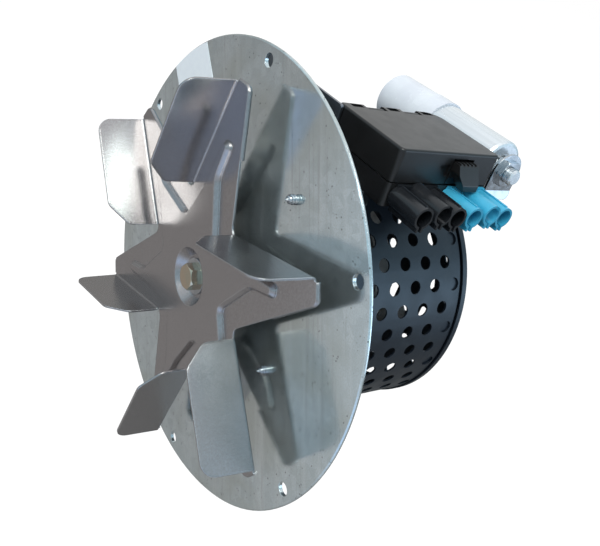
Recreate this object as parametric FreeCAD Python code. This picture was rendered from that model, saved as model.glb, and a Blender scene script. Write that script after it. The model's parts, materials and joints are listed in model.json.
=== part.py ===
import FreeCAD, Part
import math
import os

# Burner blower motor with a star impeller on a round mounting plate.
# Lengths in mm. Origin: centre of the plate's impeller-side face.
# +Y runs along the shaft from the plate to the motor, +Z is up, where the terminal box is.
# Places in the plate's plane are (x, z), and angles turn from +X towards +Z.

# Mounting plate
plate_radius = 127.5
plate_thickness = 2.0
plate_edge_chamfer = 0.6
plate_holes = 6
plate_hole_circle = 120.0
plate_hole_radius = 3.5
plate_hole_start = 33.6

# Impeller sheet. One arm lies along +u, v runs across it, and its blade stands on the fold line.
arms = 6
arm_start = 16.5
sheet = 1.0
sheet_front = -13.6
fold_offset = 34.2
bend_radius = 1.0
blade_to = 103.0
blade_from_valley = 4.3
blade_depth = 28.2
blade_inner_cut = 11.5
blade_inner_drop = 10.7
blade_outer_lean = 2.0
blade_inner_round = 6.0
blade_outer_round = 8.5
tip_past_blade = 1.4
tip_corner_past_blade = 3.5
tip_corner_v = 22.9
tip_round = 4.0
trailing_angle = 30.4
valley_round = 5.5
flange_length = 2.4
flange_angle = 65.0
flange_run = 29.5
rib_corners = [(34.3, -6.2, 5.0), (58.7, 13.4, 12.0), (77.8, 15.0, 3.2), (77.8, 22.0, 3.2),
               (48.2, 22.4, 12.0)]
rib_height = 2.6
rib_chamfer = 1.9
rib_hollow_inset = 0.6
dish_floor_radius = 12.0
dish_rim_radius = 16.0
dish_depth = 5.2

# Shaft, hub and cooling fan
shaft_radius = 6.0
shaft_past_motor = 3.0
shaft_chamfer = 0.8
hub_front_web = 2.0
hub_flange_radius = 13.5
hub_flange_length = 4.0
hub_radius = 10.0
hub_past_fan = 8.0
hub_to_plate = 3.0
bolt_radius = 4.0
bolt_across_flats = 13.0
bolt_head_height = 5.3
bolt_head_chamfer = 1.1
bolt_length = 24.0
bolt_hole_clearance = 0.25
thread_spare = 3.0
drill_point = 2.0
washer_radius = 10.0
washer_thickness = 1.6
fan_from_plate = 5.0
fan_disc = 1.6
fan_height = 11.0
fan_boss_wall = 5.0
fan_to_standoffs = 2.5
fan_vanes = 12
vane_thickness = 1.4
vane_inner = 18.0
vane_tip_drop = 2.5
vane_tip_length = 8.0

# Motor
motor_from_plate = 32.0
core_length = 30.0
core_radius = 46.0
core_yoke = 6.5
shield_wall = 3.0
shield_windows = 6
shield_window_radius = 6.5
shield_window_start = 30.0
stator_bore = 25.5
tooth_tip = 2.5
air_gap = 0.4
slots = 12
slot_half_width_in = 4.6
slot_half_width_out = 6.6
slot_mouth = 2.4
slot_clearance = 0.25
slot_round = 2.0
winding_overhang = 8.0
winding_lap = 2.0
winding_round = 2.2
winding_to_shield = 4.0
end_ring_drop = 1.1
end_ring_width = 10.0
end_ring_length = 3.0
bearing_radius = 14.0
bearing_width = 8.0
bearing_inset = 2.0
bearing_land = 2.2
bearing_groove = 0.7
running_clearance = 0.04
shaft_hole_clearance = 2.0
seat_wall = 3.5
tie_from_core = 6.0
tie_count = 4
tie_start = 5.0
tie_radius = 2.0
tie_clearance = 0.15
tie_head_radius = 4.0
tie_head_height = 2.8
tie_grip = 10.0
tie_bore_spare = 2.0
screw_slot_depth = 1.2
screw_slot_width = 0.8
standoff_radius = 5.5
standoff_collar_radius = 6.5
standoff_collar_length = 1.5
ear_radius = 7.0

# Cage
cage_radius = 79.6
cage_wall = 1.0
cage_end = 110.8
perforation_radius = 3.75
perforation_sides = 12
perforation_pitch = 15.0
perforation_row_angle = 9.15
perforation_rows = 39
perforation_first_angle = -137.6
perforation_first = 15.9
perforation_margin = 1.0
cap_rim_step = 1.0
cap_length = 5.6
cap_gap = 1.4
cap_edge = 0.8
cap_spigot_depth = 8.0
cap_fit = 0.1
cap_slot_rings = 4
cap_slots_inside = 6
cap_slots_more = 4
cap_slot_first = 26.0
cap_slot_step = 14.0
cap_slot_half_length = 6.0
cap_slot_half_width = 3.0
cap_slot_corner = 1.8
tab_screw_circle = 67.3
tab_screw_start = -9.8
tab_count = 3
tab_width = 14.0
tab_past_screw = 7.3

# Tapping screws through the plate
tap_radius = 2.1
tap_head_radius = 4.0
tap_head_height = 2.6
tap_crown_radius = 2.8
tap_tip_out = 6.0
tap_point = 3.4
cross_half_length = 2.0

# Bracket of galvanised sheet
bracket_sheet = 1.5
bracket_left = -52.0
bracket_round = 6.0
foot_right = 68.0
foot_bottom_drop = 24.0
shelf_right = 51.0
shelf_taper_from = 5.0
shelf_left_of_box = 9.0
cage_to_shelf = 6.9
cage_to_foot = 2.4
foot_screw_inset = 4.1
foot_screw_angle = 58.8
web_to_box = 0.3
web_past_box = 5.0

# Terminal box, sizes from its lower left corner
box_front = 21.5
box_left = 25.5
box_width = 49.5
base_height = 12.0
lid_height = 15.7
split_gap = 0.6
box_wall = 2.2
box_corner = 2.5
box_far_corner = 9.0
least_corner = 0.3
join_depth = 0.5
lid_edge = 1.2
hinge_in = 3.2
hinge_down = 3.0
hinge_bar = 1.2
hinge_play = 0.15
hinge_eye = 2.6
hinge_post_in = 1.0
hinge_post_out = 1.6
hinge_offset = 12.0
hinge_slot = 12.4
hinge_side_play = 1.0
hinge_slot_reach = 6.0
cheek_thickness = 1.6
cheek_reach = 2.4
cheek_drop = 2.2
pocket_offset = 23.5
pocket_from_edge = 1.2
pocket_length = 3.6
pocket_width = 7.0
pocket_depth = 1.2
box_screw_radius = 1.75
box_screw_head = 3.5
box_screw_head_height = 2.2
box_screw_inset = 9.0
box_screw_pitch = 18.0
box_screw_past_shelf = 3.0

# Latch on the lid
latch_from_front = 34.5
latch_width = 13.0
latch_side_play = 0.4
latch_pivot_in = 3.8
latch_pivot_drop = 1.5
latch_bar = 0.9
latch_play = 0.1
latch_boss = 1.7
latch_lug = 2.0
latch_below_top = 4.2
window_below_top = 2.9
latch_above_split = 0.2
latch_grip_out = 4.0
latch_toe_out = 8.6
latch_toe_height = 3.4
latch_toe_thickness = 4.0
latch_corner_cut = 5.0
latch_corner_height = 9.0
latch_ribs = 5
latch_rib_width = 1.1
latch_rib_height = 0.6
latch_rib_from = 1.0
latch_round = 1.0
latch_neck_out = 0.6
latch_hollow_height = 5.4
mark_length = 7.3
mark_height = 6.8
mark_depth = 1.0
mark_round = 0.6

# Plug sockets
barrel_pitch = 10.6
barrel_radius = 5.2
barrel_bore = 4.1
barrel_above_floor = 5.4
barrel_length = 20.0
middle_rise = 1.8
middle_reach = 0.8
barrel_from_wall = 0.3
bore_from_wall = 1.0
black_from_front = 7.1
socket_gap = 11.2
blue_to_back = 4.4
socket_depth = 15.0
socket_side = 2.0
socket_play = 0.3
window_play = 0.2
link_reach = 1.5
barrel_web_half = 1.4
barrel_web_height = 3.2
barrel_web_short = 1.2
key_width = 1.2
key_height = 0.5
key_short = 1.5
barrel_slit = 1.6
slit_wall = 1.1
slit_drop = 1.6
slit_from_wall = 2.0
pin_radius = 1.4
pin_reach = 9.0
pin_tail = 2.5
pin_nose = 1.2
pin_nose_radius = 0.5

# Terminal block in the box
block_width = 16.0
block_ways = 5
way_pitch = 6.0
block_height = 9.0
block_from_front = 16.5
block_clearance = 1.5
way_groove = 1.0
way_groove_depth = 4.5
clamp_offset = 4.0
clamp_bore = 1.9
clamp_depth = 3.2
clamp_screw_radius = 1.75
clamp_screw_height = 2.2
clamp_slot_width = 0.6
wire_bore = 1.5
wire_bore_height = 3.6
wire_bore_depth = 4.5

# Capacitor
can_from_box = 15.6
can_above_shelf = 17.3
can_radius = 14.0
can_length = 84.0
can_to = 66.0
can_edge = 1.5
can_crimp_from_end = 5.0
can_crimp = 1.1
can_neck = 0.6
cover_thickness = 1.0
cover_play = 0.05
cover_past_can = 4.0
cover_wall = 0.9
cover_to = 21.0
cover_ridge_length = 12.6
cover_step = 0.4
cover_draft = 0.8
cover_shoulder = 2.0
tab_spacing = 5.0
tab_half_width = 2.4
tab_half_thickness = 0.4
tab_to_cover = 0.3
stud_radius = 4.0
stud_length = 11.5
stud_chamfer = 0.8
tooth_washer_radius = 7.4
tooth_washer_thickness = 0.8
tooth_count = 12
tooth_height = 1.2
tooth_width = 1.5
nut_across_flats = 13.0
nut_height = 3.2
nut_chamfer = 0.5
jam_nut_height = 2.4
lug_thickness = 1.2
lug_half_width = 9.8
lug_up = 9.8
lug_head_round = 9.6
lug_bend_down = 10.0
lug_down = 14.3
lug_lean = 1.5
lug_round = 4.0
saddle_play = 0.1
saddle_height = 9.0
saddle_from = -14.0
saddle_to = 60.0
saddle_wall = 2.4
saddle_half_width = 11.9
saddle_pocket = 1.5
shelf_past_saddle = 8.0

# Motor lead
lead_radius = 3.0
lead_hole_clearance = 0.5
lead_in_box = 8.0
lead_fit = 0.1
grommet_radius = 5.0
grommet_collar = 1.6
grommet_outside = 4.0
grommet_inside = 3.0

# Places along the shaft
sheet_back = sheet_front + sheet
rib_front = sheet_front - rib_height
dish_floor_front = rib_front + dish_depth
hub_front = dish_floor_front + sheet
bolt_seat = dish_floor_front - washer_thickness
shaft_front = hub_front + hub_front_web
fan_start = plate_thickness + fan_from_plate
fan_end = fan_start + fan_height
hub_end = fan_end + hub_past_fan
motor_start = plate_thickness + motor_from_plate
shield_depth = shield_wall + winding_to_shield + winding_overhang
core_start = motor_start + shield_depth
core_end = core_start + core_length
motor_end = core_end + shield_depth
shaft_end = motor_end + shaft_past_motor
bearing_start = motor_start + bearing_inset
cap_end = cage_end + cap_length
foot_seat = plate_thickness + bracket_sheet
tab_seat = plate_thickness + cage_wall

# Places round the shaft
bend_outer = bend_radius + sheet
fold_line = fold_offset - bend_outer
arm_step = 360.0 / arms
tip_u = blade_to + tip_past_blade
tip_corner_u = blade_to + tip_corner_past_blade
plate_centre_bore = hub_radius + hub_to_plate
slot_inner = stator_bore + tooth_tip
slot_outer = core_radius - core_yoke
winding_inner = slot_inner + slot_clearance
winding_outer = slot_outer + winding_lap
end_ring_radius = stator_bore - air_gap - end_ring_drop
tie_circle = core_radius + tie_from_core
fan_radius = tie_circle - standoff_radius - fan_to_standoffs
foot_inner = cage_radius + cage_to_foot
foot_screw_circle = foot_inner + foot_screw_inset
cap_rim_radius = cage_radius + cap_rim_step

# Heights of the terminal box and its plan
shelf_bottom = cage_radius + cage_to_shelf
shelf_top = shelf_bottom + bracket_sheet
floor_top = shelf_top + box_wall
box_split = shelf_top + base_height
base_top = box_split - split_gap
box_top = box_split + lid_height
lid_roof = box_top - box_wall
box_right = box_left + box_width
wall_in = box_right - box_wall
black_first = box_front + black_from_front
blue_first = black_first + 2 * barrel_pitch + socket_gap
box_back = blue_first + 2 * barrel_pitch + blue_to_back
box_middle = (box_front + box_back) / 2
cheek_from = box_left + box_wall / 2
hinge_at = (box_left + hinge_in, box_top - hinge_down)
hinge_places = (box_middle - hinge_offset, box_middle + hinge_offset)
latch_from = box_front + latch_from_front
latch_to = latch_from + latch_width
latch_top = box_top - latch_below_top
window_top = box_top - window_below_top
latch_pivot = (box_right - latch_pivot_in, latch_top - latch_pivot_drop)
barrel_height = shelf_top + barrel_above_floor
barrel_mouth = box_right + barrel_length
socket_back = box_right - socket_depth
socket_floor = floor_top + socket_play
socket_roof = base_top - socket_play
block_right = socket_back - pin_tail - block_clearance
block_left = block_right - block_width
block_front = box_front + block_from_front
block_top = floor_top + block_height
lead_at = (block_left - block_clearance - lead_radius, core_start - winding_overhang / 2)
cap_axis = (box_back + can_from_box, shelf_top + can_above_shelf)
can_from = can_to - can_length
cover_from = can_from - cover_past_can
cover_inner = can_radius + cover_play
cover_radius = cover_inner + cover_thickness
washer_from = can_to
nut_from = washer_from + tooth_washer_thickness
lug_from = nut_from + nut_height
jam_from = lug_from + lug_thickness


def vec(x, y, z):
    return FreeCAD.Vector(x, y, z)


def disc(radius, y_from, y_to, at=(0.0, 0.0)):
    """Cylinder along Y, with its centre line at (x, z)."""
    return Part.makeCylinder(radius, y_to - y_from, vec(at[0], y_from, at[1]), vec(0, 1, 0))


def ring(outer, inner, y_from, y_to, at=(0.0, 0.0)):
    return disc(outer, y_from, y_to, at).cut(disc(inner, y_from - 1, y_to + 1, at))


def rod_x(radius, x_from, x_to, at):
    """Cylinder along X, with its centre line at (y, z)."""
    return Part.makeCylinder(radius, x_to - x_from, vec(x_from, at[0], at[1]), vec(1, 0, 0))


def rod_z(radius, z_from, z_to, at):
    """Cylinder along Z, with its centre line at (x, y)."""
    return Part.makeCylinder(radius, z_to - z_from, vec(at[0], at[1], z_from))


def block(x_span, y_span, z_span):
    size = [span[1] - span[0] for span in (x_span, y_span, z_span)]
    return Part.makeBox(*size, vec(x_span[0], y_span[0], z_span[0]))


def about(middle, half):
    return (middle - half, middle + half)


def fused(shapes):
    return shapes[0].multiFuse(shapes[1:]).removeSplitter()


def without(shape, cuts):
    return shape.cut(Part.makeCompound(cuts))


def turned(profile):
    """Solid of revolution about Y from (radius, y) corners."""
    corners = [vec(r, y, 0) for r, y in profile]
    face = Part.Face(Part.makePolygon(corners + corners[:1]))
    return face.revolve(vec(0, 0, 0), vec(0, 1, 0), 360)


def turned_x(profile, at):
    """Solid of revolution about a line along X through (y, z), from (x, radius) corners."""
    corners = [vec(x, at[0], at[1] + r) for x, r in profile]
    face = Part.Face(Part.makePolygon(corners + corners[:1]))
    return face.revolve(vec(0, at[0], at[1]), vec(1, 0, 0), 360)


def spun(shape, angle):
    """Copy turned about the shaft, +X towards +Z."""
    return shape.copy().rotate(vec(0, 0, 0), vec(0, -1, 0), angle)


def around(shape, count, start=0.0):
    return [spun(shape, start + 360.0 * k / count) for k in range(count)]


def polar(radius, angle):
    a = math.radians(angle)
    return (radius * math.cos(a), radius * math.sin(a))


def on_circle(radius, count, start):
    return [polar(radius, start + 360.0 * k / count) for k in range(count)]


def turned_point(point, angle):
    a = math.radians(angle)
    return (point[0] * math.cos(a) - point[1] * math.sin(a),
            point[0] * math.sin(a) + point[1] * math.cos(a))


def in_plate(y):
    return lambda a, b: vec(a, y, b)


def in_side(x):
    return lambda a, b: vec(x, a, b)


def in_floor(z):
    return lambda a, b: vec(a, b, z)


def outline(corners, place):
    """Closed wire through (a, b, radius) corners, each rounded by a tangent arc."""
    points = [place(a, b) for a, b, r in corners]
    count = len(points)
    starts, middles, ends = [], [], []
    for i in range(count):
        to_last = (points[i - 1] - points[i]).normalize()
        to_next = (points[(i + 1) % count] - points[i]).normalize()
        radius = corners[i][2]
        half = to_last.getAngle(to_next) / 2
        leg = radius / math.tan(half)
        starts.append(points[i] + to_last * leg)
        ends.append(points[i] + to_next * leg)
        inward = (to_last + to_next).normalize() if radius else vec(0, 0, 0)
        middles.append(points[i] + inward * (radius / math.sin(half) - radius))
    edges = []
    for i in range(count):
        if corners[i][2]:
            edges.append(Part.Arc(starts[i], middles[i], ends[i]).toShape())
        after = starts[(i + 1) % count]
        if (after - ends[i]).Length > 1e-6:
            edges.append(Part.LineSegment(ends[i], after).toShape())
    return Part.Wire(edges)


def prism(corners, place, along):
    return Part.Face(outline(corners, place)).extrude(along)


def hexagon(across_flats, place, along):
    corners = [polar(corner_radius(across_flats), 60 * k) + (0.0,) for k in range(6)]
    return prism(corners, place, along)


def corner_radius(across_flats):
    return across_flats / 2 / math.cos(math.radians(30))


def screw_slot(centre, axis_span, half_length):
    """Bar that cuts a screwdriver slot in a head along Z, centred at (x, y)."""
    return block(about(centre[0], half_length), about(centre[1], screw_slot_width / 2), axis_span)


tab_screw_points = on_circle(tab_screw_circle, tab_count, tab_screw_start)
foot_screw_points = [polar(foot_screw_circle, angle) for angle in (foot_screw_angle, 180 - foot_screw_angle)]
tie_points = on_circle(tie_circle, tie_count, tie_start)


def mounting_plate():
    plate = disc(plate_radius, 0, plate_thickness)
    rims = [e for e in plate.Edges if abs(e.Length - 2 * math.pi * plate_radius) < 1e-3]
    plate = plate.makeChamfer(min(plate_edge_chamfer, plate_thickness / 3), rims)
    cuts = [disc(plate_centre_bore, -1, plate_thickness + 1)]
    for point in on_circle(plate_hole_circle, plate_holes, plate_hole_start):
        cuts.append(disc(plate_hole_radius, -1, plate_thickness + 1, point))
    for point in tab_screw_points + foot_screw_points:
        cuts.append(disc(tap_radius, -1, plate_thickness + 1, point))
    return without(plate, cuts)


def tapping_screw(point, seat):
    """Pan-head screw with a cross recess, its point standing out on the impeller side."""
    top = seat + tap_head_height
    screw = turned([(0, -tap_tip_out), (tap_radius, tap_point - tap_tip_out), (tap_radius, seat),
                    (tap_head_radius, seat), (tap_head_radius, seat + tap_head_height / 2),
                    (tap_crown_radius, top), (0, top)])
    depth = (top - screw_slot_depth, top + 1)
    long_way = about(0.0, cross_half_length)
    short_way = about(0.0, screw_slot_width / 2)
    cross = block(long_way, depth, short_way).fuse(block(short_way, depth, long_way))
    return screw.cut(cross).translate(vec(point[0], 0, point[1]))


def plate_screws():
    screws = [tapping_screw(p, tab_seat) for p in tab_screw_points]
    screws += [tapping_screw(p, foot_seat) for p in foot_screw_points]
    return Part.makeCompound(screws)


def valley_point():
    """Where an arm's trailing edge meets the fold line of the arm before it, in that arm's frame."""
    corner = turned_point((tip_corner_u, tip_corner_v), arm_step)
    slope = math.tan(math.radians(trailing_angle + arm_step))
    return turned_point((corner[0] - (corner[1] - fold_line) / slope, fold_line), -arm_step)


blade_from = turned_point(valley_point(), arm_step)[0] + blade_from_valley


def repeated(corners):
    """The same (u, v, radius) corners for every arm, turned about the shaft."""
    every = []
    for k in range(arms):
        every += [turned_point((u, v), arm_step * k) + (radius,) for u, v, radius in corners]
    return every


def impeller_blade():
    """Blade bent forwards on the fold line, cut off at its inner corner and rounded at the outer one."""
    tip_depth = sheet_front - blade_depth
    section = [(fold_line, sheet_back, 0), (fold_offset, sheet_back, bend_outer),
               (fold_offset, tip_depth, 0), (fold_offset - sheet, tip_depth, 0),
               (fold_offset - sheet, sheet_front, bend_radius), (fold_line, sheet_front, 0)]
    bent = prism(section, lambda v, y: vec(blade_from, y, v), vec(blade_to - blade_from, 0, 0))
    side = [(blade_from, sheet_back, 0),
            (blade_from, tip_depth + blade_inner_drop, blade_inner_round),
            (blade_from + blade_inner_cut, tip_depth, blade_inner_round),
            (blade_to - blade_outer_lean, tip_depth, blade_outer_round),
            (blade_to, sheet_back, 0)]
    return bent.common(prism(side, lambda u, y: vec(u, y, fold_line - 1), vec(0, 0, bend_outer + 2)))


def impeller_flange():
    """Edge bent back towards the plate, round the tip and along the trailing edge."""
    bend = vec(tip_corner_u, sheet_front, tip_corner_v)
    start = vec(tip_u, sheet_front, fold_line)
    trail = math.radians(trailing_angle)
    stop = bend - vec(flange_run, 0, flange_run * math.tan(trail))
    to_start = (start - bend).normalize()
    to_stop = (stop - bend).normalize()
    half = to_start.getAngle(to_stop) / 2
    arc_from = bend + to_start * (tip_round / math.tan(half))
    arc_to = bend + to_stop * (tip_round / math.tan(half))
    middle = bend + (to_start + to_stop).normalize() * (tip_round / math.sin(half) - tip_round)
    path = Part.Wire([Part.LineSegment(start, arc_from).toShape(),
                      Part.Arc(arc_from, middle, arc_to).toShape(),
                      Part.LineSegment(arc_to, stop).toShape()])
    outward = to_start.cross(vec(0, 1, 0))
    across = math.cos(math.radians(flange_angle))
    back = math.sin(math.radians(flange_angle))
    profile = [(0, 0), (flange_length * across, flange_length * back),
               (flange_length * across - sheet * back, flange_length * back + sheet * across),
               (-sheet * math.tan(math.radians(flange_angle / 2)), sheet)]
    corners = [start + outward * a + vec(0, b, 0) for a, b in profile]
    sweep = Part.BRepOffsetAPI.MakePipeShell(path)
    sweep.setBiNormalMode(vec(0, 1, 0))
    sweep.add(Part.makePolygon(corners + corners[:1]))
    sweep.build()
    sweep.makeSolid()
    return sweep.shape()


def impeller_ribs(inset, back, front):
    """Star of pressed ribs with sloping walls, from the sheet at back to its top at front."""
    base = outline(repeated(rib_corners), in_plate(back))
    if inset:
        base = base.makeOffset2D(-inset)
    body = Part.Face(base).extrude(vec(0, front - back, 0))
    top_edges = [e for e in body.Edges if max(v.Y for v in e.Vertexes) < front + 1e-4]
    return body.makeChamfer(rib_chamfer, top_edges)


def impeller():
    star = [valley_point() + (valley_round,), (tip_corner_u, tip_corner_v, tip_round),
            (tip_u, fold_line, 0)]
    flat = prism(repeated(star), in_plate(sheet_front), vec(0, sheet, 0))
    ribs = impeller_ribs(0.0, sheet_front, rib_front)
    hollow = impeller_ribs(rib_hollow_inset, sheet_back, rib_front + sheet)
    dish_back = dish_floor_front + sheet
    dish = turned([(0, rib_front), (dish_rim_radius + sheet, rib_front),
                   (dish_floor_radius + sheet, dish_back), (0, dish_back)])
    dish_void = turned([(0, rib_front - 1), (dish_rim_radius, rib_front - 1), (dish_rim_radius, rib_front),
                        (dish_floor_radius, dish_floor_front), (0, dish_floor_front)])
    limbs = around(impeller_blade(), arms) + around(impeller_flange(), arms)
    body = flat.multiFuse([ribs] + limbs).cut(hollow).fuse(dish).cut(dish_void)
    body = body.cut(disc(bolt_radius + bolt_hole_clearance, rib_front, dish_back + 1))
    return spun(body.removeSplitter(), arm_start)


def hub_washer():
    return ring(washer_radius, bolt_radius + bolt_hole_clearance, bolt_seat, dish_floor_front)


def hub_bolt():
    head = hexagon(bolt_across_flats, in_plate(bolt_seat), vec(0, -bolt_head_height, 0))
    corner = corner_radius(bolt_across_flats)
    top = bolt_seat - bolt_head_height
    dome = turned([(0, top), (corner - bolt_head_chamfer, top), (corner, top + bolt_head_chamfer),
                   (corner, bolt_seat), (0, bolt_seat)])
    return head.common(dome).fuse(disc(bolt_radius, bolt_seat, bolt_seat + bolt_length))


def impeller_hub():
    """Flanged bush on the shaft end, behind the impeller's dish."""
    bore = bolt_radius + bolt_hole_clearance
    flange_end = hub_front + hub_flange_length
    edge = shaft_chamfer
    return turned([(bore, hub_front), (hub_flange_radius - edge, hub_front),
                   (hub_flange_radius, hub_front + edge), (hub_flange_radius, flange_end),
                   (hub_radius, flange_end), (hub_radius, hub_end), (shaft_radius, hub_end),
                   (shaft_radius, shaft_front), (bore, shaft_front)])


def motor_shaft():
    thread_end = bolt_seat + bolt_length + thread_spare
    return turned([(bolt_radius, shaft_front), (shaft_radius, shaft_front),
                   (shaft_radius, shaft_end - shaft_chamfer), (shaft_radius - shaft_chamfer, shaft_end),
                   (0, shaft_end), (0, thread_end + drill_point), (bolt_radius, thread_end)])


def cooling_fan():
    """Disc with straight vanes on the hub, between the plate and the motor."""
    boss = hub_radius + fan_boss_wall
    disc_end = fan_start + fan_disc
    body = turned([(hub_radius, fan_start), (fan_radius, fan_start), (fan_radius, disc_end),
                   (boss, disc_end), (boss, fan_end), (hub_radius, fan_end)])
    root = fan_start + fan_disc / 2
    vane = prism([(vane_inner, root, 0), (fan_radius - fan_disc, root, 0),
                  (fan_radius - fan_disc, fan_end - vane_tip_drop, 0),
                  (fan_radius - vane_tip_length, fan_end, 0), (vane_inner, fan_end, 0)],
                 lambda u, y: vec(u, y, -vane_thickness / 2), vec(0, 0, vane_thickness))
    return fused([body] + around(vane, fan_vanes))


def bearing(y_from):
    """Shielded ball bearing, drawn as one ring with the groove of each shield."""
    bore = shaft_radius + running_clearance
    y_to = y_from + bearing_width
    inner_land = shaft_radius + bearing_land
    outer_land = bearing_radius - bearing_land
    return turned([(bore, y_from), (inner_land, y_from), (inner_land, y_from + bearing_groove),
                   (outer_land, y_from + bearing_groove), (outer_land, y_from), (bearing_radius, y_from),
                   (bearing_radius, y_to), (outer_land, y_to), (outer_land, y_to - bearing_groove),
                   (inner_land, y_to - bearing_groove), (inner_land, y_to), (bore, y_to)])


def front_bearing():
    return bearing(bearing_start)


def rear_bearing():
    return bearing(motor_end - bearing_inset - bearing_width)


def end_shield():
    """Cast end shield, drawn for the front, with bearing seat, windows and bolt ears."""
    seat = bearing_radius + seat_wall
    seat_end = bearing_start + bearing_width
    wall_end = motor_start + shield_wall
    skirt = core_radius - shield_wall
    hole = shaft_radius + shaft_hole_clearance
    shell = turned([(bearing_radius, bearing_start), (bearing_radius, seat_end), (seat, seat_end),
                    (seat, wall_end), (skirt - shield_wall, wall_end), (skirt, wall_end + shield_wall),
                    (skirt, core_start), (core_radius, core_start), (core_radius, motor_start + shield_wall),
                    (core_radius - shield_wall, motor_start), (hole, motor_start), (hole, bearing_start)])
    ears = Part.makeCompound([disc(ear_radius, motor_start, core_start, p) for p in tie_points])
    ears = ears.cut(disc(core_radius - shield_wall / 2, motor_start - 1, core_start + 1))
    window = disc(shield_window_radius, motor_start - 1, wall_end + 1, polar((seat + skirt) / 2, 0))
    cuts = around(window, shield_windows, shield_window_start)
    cuts += [disc(tie_radius + tie_clearance, motor_start - 1, core_start + 1, p) for p in tie_points]
    return without(shell.multiFuse(ears.Solids), cuts).removeSplitter()


def front_end_shield():
    return end_shield().cut(rod_z(lead_radius + lead_hole_clearance, 0, cage_radius, lead_at))


def rear_end_shield():
    return end_shield().mirror(vec(0, (core_start + core_end) / 2, 0), vec(0, 1, 0))


def slot_form(inset, y_from, y_to):
    """Stator slot between two teeth, or the winding side that fills it when inset."""
    narrow = slot_half_width_in - inset
    wide = slot_half_width_out - inset
    corners = [(slot_inner + inset, -narrow, 0), (slot_outer - inset, -wide, slot_round),
               (slot_outer - inset, wide, slot_round), (slot_inner + inset, narrow, 0)]
    return prism(corners, in_plate(y_from), vec(0, y_to - y_from, 0))


def stator_core():
    core = ring(core_radius, stator_bore, core_start, core_end)
    mouth = block((stator_bore - 2, slot_inner + 1), (core_start - 1, core_end + 1),
                  about(0.0, slot_mouth / 2))
    slot = slot_form(0.0, core_start - 1, core_end + 1)
    return without(core, around(slot, slots) + around(mouth, slots))


def stator_windings():
    """Coil sides in the slots, with an end turn ring at each face of the core."""
    r = winding_round
    turns = []
    for face, side in ((core_start, -1), (core_end, 1)):
        near = face + side * slot_clearance
        far = face + side * winding_overhang
        turns.append(turned([(winding_inner, near), (winding_outer, near), (winding_outer, far - side * r),
                             (winding_outer - r, far), (winding_inner + r, far),
                             (winding_inner, far - side * r)]))
    reach = winding_overhang / 4
    bar = slot_form(slot_clearance, core_start - reach, core_end + reach)
    return fused(turns + around(bar, slots))


def rotor_core():
    return ring(stator_bore - air_gap, shaft_radius, core_start, core_end)


def rotor_end_rings():
    inner = end_ring_radius - end_ring_width
    return Part.makeCompound([ring(end_ring_radius, inner, core_start - end_ring_length, core_start),
                              ring(end_ring_radius, inner, core_end, core_end + end_ring_length)])


def tie_bolts():
    """Slotted screws through both shields and into the standoffs."""
    bolts = []
    top = motor_end + tie_head_height
    for x, z in tie_points:
        shank = disc(tie_radius, motor_start - tie_grip, motor_end, (x, z))
        head = disc(tie_head_radius, motor_end, top, (x, z))
        slot_cut = block(about(x, tie_head_radius + 1), (top - screw_slot_depth, top + 1),
                         about(z, screw_slot_width / 2))
        bolts.append(shank.fuse(head).cut(slot_cut))
    return Part.makeCompound(bolts)


def standoffs():
    pillars = []
    for point in tie_points:
        pillar = disc(standoff_radius, plate_thickness, motor_start, point)
        collar_end = plate_thickness + standoff_collar_length
        collar = disc(standoff_collar_radius, plate_thickness, collar_end, point)
        bore = disc(tie_radius, motor_start - tie_grip - tie_bore_spare, motor_start + 1, point)
        pillars.append(pillar.fuse(collar).cut(bore))
    return Part.makeCompound(pillars)


def clear_of_lead(angle, y):
    x, z = polar(cage_radius, angle)
    reach = grommet_radius + grommet_collar + perforation_radius
    return z < 0 or math.hypot(x - lead_at[0], y - lead_at[1]) > reach


def perforation_places():
    """Angle and Y of every hole, in rows staggered by half a pitch."""
    places = []
    for row in range(perforation_rows):
        angle = perforation_first_angle + perforation_row_angle * row
        y = perforation_first + (perforation_pitch / 2 if row % 2 else 0.0)
        while y < cage_end - perforation_radius - perforation_margin:
            if clear_of_lead(angle, y):
                places.append((angle, y))
            y += perforation_pitch
    return places


def perforation():
    """Many-sided form of one hole, lying through the guard's wall along X."""
    step = 360.0 / perforation_sides
    corners = [polar(perforation_radius, step * k) + (0.0,) for k in range(perforation_sides)]
    return prism(corners, in_side(cage_radius - cage_wall - 2), vec(cage_wall + 4, 0, 0))


def cage_shell():
    """Perforated guard round the motor, held by tabs on the plate."""
    shell = ring(cage_radius, cage_radius - cage_wall, plate_thickness, cage_end)
    tab = block((tab_screw_circle - tab_past_screw, cage_radius - cage_wall / 2),
                (plate_thickness, tab_seat), about(0.0, tab_width / 2))
    tab = tab.cut(disc(tap_radius, 0, tab_seat + 1, (tab_screw_circle, 0)))
    hole = perforation()
    holes = [spun(hole.copy().translate(vec(0, y, 0)), angle) for angle, y in perforation_places()]
    holes.append(rod_z(grommet_radius, 0, cage_radius, lead_at))
    return without(shell, holes).multiFuse(around(tab, tab_count, tab_screw_start))


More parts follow.
